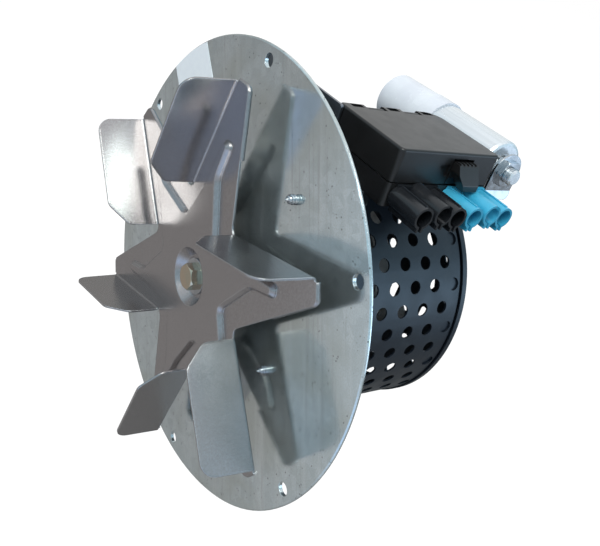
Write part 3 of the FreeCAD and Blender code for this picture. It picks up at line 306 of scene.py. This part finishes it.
def turned_steel():
    """Turned steel: fine tool rings along the shaft's axis."""
    f = Finish("turned_steel", metallic=1.0)
    rings = f.noise(1400.0, 2.0, stretch=(0.02, 1.0, 0.02))
    f.set(base_color=f.mix(rings, (0.44, 0.44, 0.45), (0.56, 0.56, 0.57)))
    f.gloss(f.noise(300.0, 3.0), (0.25, 0.42))
    f.bump(rings, 0.00002)
    return f


def cast(name, low, high, roughness):
    """Die-cast aluminium: matt skin with a fine pitted grain."""
    f = Finish(name, metallic=1.0)
    f.set(base_color=f.mix(f.between(f.noise(90.0, 6.0), 0.35, 0.65), low, high))
    f.gloss(f.noise(500.0, 3.0), roughness)
    f.bump(f.noise(1100.0, 4.0), 0.00006)
    return f


def lamination():
    """Stack of electrical sheets: fine lines across the shaft's axis, and a little rust."""
    f = Finish("lamination", metallic=0.8)
    lines = f.node("ShaderNodeTexWave", {"Vector": f.place, "Scale": 320.0, "Distortion": 0.3},
                   bands_direction="Y").outputs["Fac"]
    rust = f.noise(120.0, 5.0)
    color = f.mix(lines, (0.09, 0.085, 0.08), (0.26, 0.25, 0.24))
    f.set(base_color=f.tinted(color, rust, 0.55, 0.75, 0.5, (0.2, 0.12, 0.07)))
    f.gloss(rust, (0.4, 0.6))
    f.bump(lines, 0.0001)
    return f


def winding():
    """Varnished copper wire laid round the core's end."""
    f = Finish("winding", metallic=0.7, coat_weight=0.6, coat_roughness=0.2)
    wires = f.node("ShaderNodeTexWave", {"Vector": f.place, "Scale": 420.0, "Distortion": 2.5, "Detail": 2.0},
                   wave_type="RINGS", rings_direction="Y").outputs["Fac"]
    color = f.mix(wires, (0.24, 0.1, 0.05), (0.62, 0.3, 0.15))
    f.set(base_color=f.mix(f.noise(80.0, 4.0), color, (0.42, 0.2, 0.1)))
    f.gloss(f.noise(240.0, 3.0), (0.3, 0.45))
    f.bump(wires, 0.00025)
    return f


def moulded(name, low, high, roughness=(0.38, 0.5), grain=0.00003):
    """Moulded plastic: fine leathery grain, with slight drift in colour and gloss."""
    f = Finish(name)
    f.set(base_color=f.mix(f.between(f.noise(60.0, 5.0), 0.35, 0.7), low, high))
    f.gloss(f.noise(160.0, 4.0), roughness)
    f.bump(f.noise(1600.0, 3.0), grain)
    return f


def cage_black():
    """Satin black coating over perforated sheet, with a slight orange peel and dust."""
    f = Finish("cage_black", specular_ior_level=0.6, specular_tint=(0.75, 0.9, 1.0, 1.0))
    f.set(base_color=f.tinted((0.009, 0.012, 0.019), f.noise(140.0, 6.0), 0.5, 0.8, 0.6, (0.024, 0.027, 0.032)))
    f.gloss(f.noise(70.0, 4.0), (0.32, 0.44))
    f.bump(f.noise(420.0, 2.0), 0.00004)
    return f


def can_aluminium():
    """Drawn aluminium: near white, with faint draw lines along the can and clouds of gloss."""
    f = Finish("can_aluminium", metallic=0.7)
    draw = f.noise(700.0, 3.0, stretch=(0.03, 1.0, 1.0))
    f.set(base_color=f.mix(f.between(draw, 0.3, 0.7), (0.74, 0.76, 0.78), (0.84, 0.86, 0.88)))
    f.gloss(f.noise(40.0, 4.0), (0.2, 0.3))
    f.bump(draw, 0.000005)
    return f


def black_rubber():
    """Matt rubber with a dusty bloom."""
    f = Finish("black_rubber")
    f.set(base_color=f.mix(f.noise(120.0, 5.0), (0.016, 0.016, 0.017), (0.04, 0.04, 0.041)))
    f.gloss(f.noise(300.0, 3.0), (0.5, 0.7))
    f.bump(f.noise(1300.0, 3.0), 0.00004)
    return f


def label_paper():
    """White paper with a faint fibre."""
    f = Finish("label_paper")
    f.set(base_color=f.mix(f.noise(300.0, 4.0), (0.80, 0.81, 0.85), (0.90, 0.91, 0.93)))
    f.gloss(f.noise(500.0, 2.0), (0.35, 0.5))
    f.bump(f.noise(1400.0, 3.0), 0.00001)
    return f


def dress_nodes():
    """Gives each CAD node the finish of its slot, and returns the material of each slot."""
    made = (
        plate_zinc(),
        impeller_steel(),
        plated("screw_zinc", (0.42, 0.44, 0.46), (0.56, 0.58, 0.60), (0.1, 0.22)),
        plated("bolt_yellow_zinc", (0.60, 0.51, 0.39), (0.54, 0.51, 0.40), (0.08, 0.16)),
        turned_steel(),
        moulded("fan_plastic", (0.03, 0.03, 0.032), (0.05, 0.05, 0.052)),
        plated("bearing_steel", (0.62, 0.62, 0.64), (0.74, 0.74, 0.76), (0.1, 0.2)),
        cast("cast_shield", (0.46, 0.44, 0.42), (0.58, 0.56, 0.54), (0.45, 0.62)),
        lamination(),
        winding(),
        cast("rotor_aluminium", (0.62, 0.62, 0.63), (0.72, 0.72, 0.73), (0.3, 0.45)),
        cage_black(),
        # bracket_zinc is galvanised like the plate, darkened well below it as painted shade for the shade between plate
        # and terminal box.
        plated("bracket_zinc", (0.24, 0.25, 0.28), (0.30, 0.31, 0.34), (0.3, 0.42)),
        moulded("box_plastic", (0.009, 0.0085, 0.0085), (0.013, 0.012, 0.012), (0.28, 0.33)),
        moulded("block_plastic", (0.60, 0.60, 0.56), (0.66, 0.66, 0.62)),
        moulded("socket_black", (0.010, 0.011, 0.013), (0.018, 0.019, 0.022), (0.17, 0.25)),
        moulded("socket_blue", (0.045, 0.37, 0.56), (0.065, 0.43, 0.63), (0.17, 0.25)),
        plated("contact_brass", (0.70, 0.62, 0.44), (0.78, 0.70, 0.52)),
        can_aluminium(),
        moulded("cover_white", (0.69, 0.685, 0.73), (0.77, 0.77, 0.80), (0.18, 0.28), 0.00001),
        black_rubber(),
    )
    materials = {finish.name: finish.material for finish in made}
    for part in frame["record"]["subparts"]:
        mesh = nodes[part["node"]].data
        mesh.materials.clear()
        mesh.materials.append(materials[part["material_slot"]])
    return materials


def add(name, data):
    """Object in the scene that holds the given camera, lamp or mesh."""
    made = bpy.data.objects.new(name, data)
    bpy.context.scene.collection.objects.link(made)
    return made


def camera():
    data = bpy.data.cameras.new("camera")
    data.lens = CAMERA_LENS
    data.clip_start = CAMERA_NEAREST
    data.clip_end = 4 * FLOOR_REACH
    made = add("camera", data)
    turn = Matrix((CAMERA_RIGHT, CAMERA_UP, CAMERA_BACK)).transposed()
    made.matrix_world = Matrix.Translation(CAMERA_PLACE) @ turn.to_4x4()
    bpy.context.scene.camera = made


def floor():
    """Floor below the part. The camera sees it near white with its soft shadow, and mirrors see the room's floor."""
    mesh = bpy.data.meshes.new("floor")
    level = cad_box[0].z - FLOOR_DROP
    corners = [(-1, -1), (1, -1), (1, 1), (-1, 1)]
    mesh.from_pydata([(x * FLOOR_REACH, y * FLOOR_REACH, level) for x, y in corners], [], [(0, 1, 2, 3)])
    made = add("floor", mesh)
    f = Finish("floor", base_color=(*FLOOR_COLOR, 1), roughness=0.9, specular_ior_level=0.0)
    front = f.between(f.towards(f.place, FRONT_SIDE), *FRONT_FADE)
    right = f.between(f.towards(f.place, RIGHT_SIDE), *RIGHT_FADE)
    away = f.node("ShaderNodeVectorMath", {0: f.place, 1: (*PATCH_MIDDLE, level)}, operation="DISTANCE")
    room = f.mix(right, f.mix(front, MIRRORED_BEHIND, MIRRORED_FRONT), MIRRORED_RIGHT)
    room = f.mix(f.between(away.outputs["Value"], *PATCH_FADE), room, MIRRORED_PATCH)
    by_camera, by_mirror = f.seen_by()
    f.set(emission_color=f.mix(by_camera, room, (FLOOR_SEEN,) * 3),
          emission_strength=f.math("MAXIMUM", by_camera, by_mirror))
    mesh.materials.append(f.material)


def world():
    """Soft room light, bluer to the right and brighter overhead. The camera sees it white, mirrors partly so."""
    made = bpy.data.worlds.new("world")
    made.use_nodes = True
    bpy.context.scene.world = made
    f = Nodes(made.node_tree)
    direction = f.node("ShaderNodeTexCoord").outputs["Generated"]
    height = f.node("ShaderNodeSeparateXYZ", {0: direction}).outputs["Z"]
    walls = f.mix(f.between(f.towards(direction, DAYLIGHT_SIDE), *DAYLIGHT_FADE), *WALL_COLORS)
    room = f.mix(f.between(height, *CEILING_FADE), walls, CEILING_COLOR)
    by_camera, by_mirror = f.seen_by()
    white = f.math("MAXIMUM", by_camera, f.math("MULTIPLY", by_mirror, WHITE_MIRRORED))
    f.feed(f.tree.nodes["Background"].inputs["Color"], f.mix(white, room, (1, 1, 1)))


def lamp(name, side, distance, size, power, color=(1, 1, 1)):
    """Square soft lamp that faces the part from the given side."""
    data = bpy.data.lights.new(name, "AREA")
    data.size = size
    data.energy = power
    data.color = color
    made = add(name, data)
    back = Vector(side).normalized()
    made.location = back * distance
    made.rotation_mode = "QUATERNION"
    made.rotation_quaternion = (-back).to_track_quat("-Z", "Y")
    return made


def lamps():
    """High lamp that the white blade mirrors, bluish daylight on the guard, and two fills, one of them not mirrored."""
    lamp("lamp_above", (0.33, -0.37, 0.87), 1.6, 0.8, 12.0, (0.95, 1.0, 0.96))
    lamp("lamp_side", (0.70, 0.70, 0.08), 1.6, 0.9, 3.4, (0.76, 0.97, 1.22))
    lamp("lamp_behind", (-0.58, 0.70, 0.38), 2.0, 1.6, 3.4)
    fill = lamp("lamp_fill", (0.05, -0.92, 0.38), 1.6, 1.2, 7.6, (1.0, 0.99, 0.97))
    fill.visible_glossy = False


def piece(name, shape, body, material):
    """Adds a closed shape that belongs to the part and rides on one of its bodies."""
    bmesh.ops.recalc_face_normals(shape, faces=shape.faces)
    mesh = bpy.data.meshes.new(name)
    shape.to_mesh(mesh)
    shape.free()
    mesh.materials.append(material)
    made = add(name, mesh)
    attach(made, body)


def thread(name, start, along, length, radius_at, pitch, ridge, material):
    """Helical ridge round a shank, from start along a unit direction, on the radius at each distance."""
    shape = bmesh.new()
    along = Vector(along)
    across = along.orthogonal().normalized()
    other = along.cross(across)
    sides = len(THREAD_SECTION)
    last = None
    for k in range(int(length / pitch * THREAD_STEPS) + 1):
        turn = 2 * math.pi * k / THREAD_STEPS
        outward = across * math.cos(turn) + other * math.sin(turn)
        middle = pitch * k / THREAD_STEPS
        row = []
        for a, b in THREAD_SECTION:
            radius = max(radius_at(middle) + b * ridge, LEAST_RADIUS)
            row.append(shape.verts.new(Vector(start) + along * (middle + a * pitch) + outward * radius))
        if last:
            for i in range(sides):
                j = (i + 1) % sides
                shape.faces.new((last[i], last[j], row[j], row[i]))
        else:
            shape.faces.new(row)
        last = row
    shape.faces.new(last[::-1])
    piece(name, shape, "root", material)


def solids_of(name):
    """Box of each separate solid of a node, as its lowest and highest corner."""
    shape = bmesh.new()
    shape.from_mesh(nodes[name].data)
    bmesh.ops.remove_doubles(shape, verts=shape.verts, dist=1e-6)
    boxes, seen = [], set()
    for first in shape.verts:
        if first in seen:
            continue
        stack, group = [first], []
        seen.add(first)
        while stack:
            vert = stack.pop()
            group.append(nodes[name].matrix_world @ vert.co)
            for edge in vert.link_edges:
                after = edge.other_vert(vert)
                if after not in seen:
                    seen.add(after)
                    stack.append(after)
        boxes.append([Vector([pick(p[i] for p in group) for i in range(3)]) for pick in (min, max)])
    shape.free()
    return boxes


def tap_radius(y):
    """Radius of a tapping screw's point at a distance along its thread."""
    return TAP_RADIUS * min(1.0, (TAP_TIP - y) / (TAP_TIP - TAP_TAPER))


def threads(material):
    """Threads on the points of the plate's screws and on the capacitor's stud."""
    for i, (low, high) in enumerate(solids_of("plate_screws")):
        middle = (low + high) / 2
        thread("plate_screw_thread_%d" % i, (middle.x, -TAP_START, middle.z), (0, -1, 0), TAP_TIP - TAP_BARE_TIP,
               tap_radius, TAP_PITCH, TAP_RIDGE, material)
    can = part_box("capacitor_can")
    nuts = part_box("capacitor_nuts")
    start = nuts[1].x + STUD_PITCH / 2
    middle = (nuts[0] + nuts[1]) / 2
    thread("capacitor_stud_thread", (start, middle.y, middle.z), (1, 0, 0), can[1].x - start - STUD_PITCH,
           lambda x: STUD_RADIUS, STUD_PITCH, STUD_RIDGE, material)


def label():
    """Blank paper label on the plate's face, cut off by the rim."""
    aside = Vector((-LABEL_INWARD.y, LABEL_INWARD.x))
    outline = []
    for k in range(LABEL_RIM_STEPS + 1):
        at = LABEL_MIDDLE + aside * (LABEL_WIDTH * (k / LABEL_RIM_STEPS - 0.5))
        reach = LABEL_OUTWARD
        while (at - LABEL_INWARD * reach).length > LABEL_RIM:
            reach -= LABEL_OUTWARD_STEP
        outline.append(at - LABEL_INWARD * reach)
    for end in (0.5, -0.5):
        outline.append(LABEL_MIDDLE + aside * (LABEL_WIDTH * end) + LABEL_INWARD * LABEL_HEIGHT)
    shape = bmesh.new()
    front = [shape.verts.new((p.x, -LABEL_THICKNESS, p.y)) for p in outline]
    back = [shape.verts.new((p.x, 0, p.y)) for p in outline]
    shape.faces.new(front)
    for i in range(len(outline)):
        j = (i + 1) % len(outline)
        shape.faces.new((front[i], back[i], back[j], front[j]))
    piece("plate_label", shape, "root", label_paper().material)


materials = dress_nodes()
camera()
floor()
world()
lamps()
threads(materials["screw_zinc"])
label()
bpy.context.scene.view_settings.view_transform = "Standard"
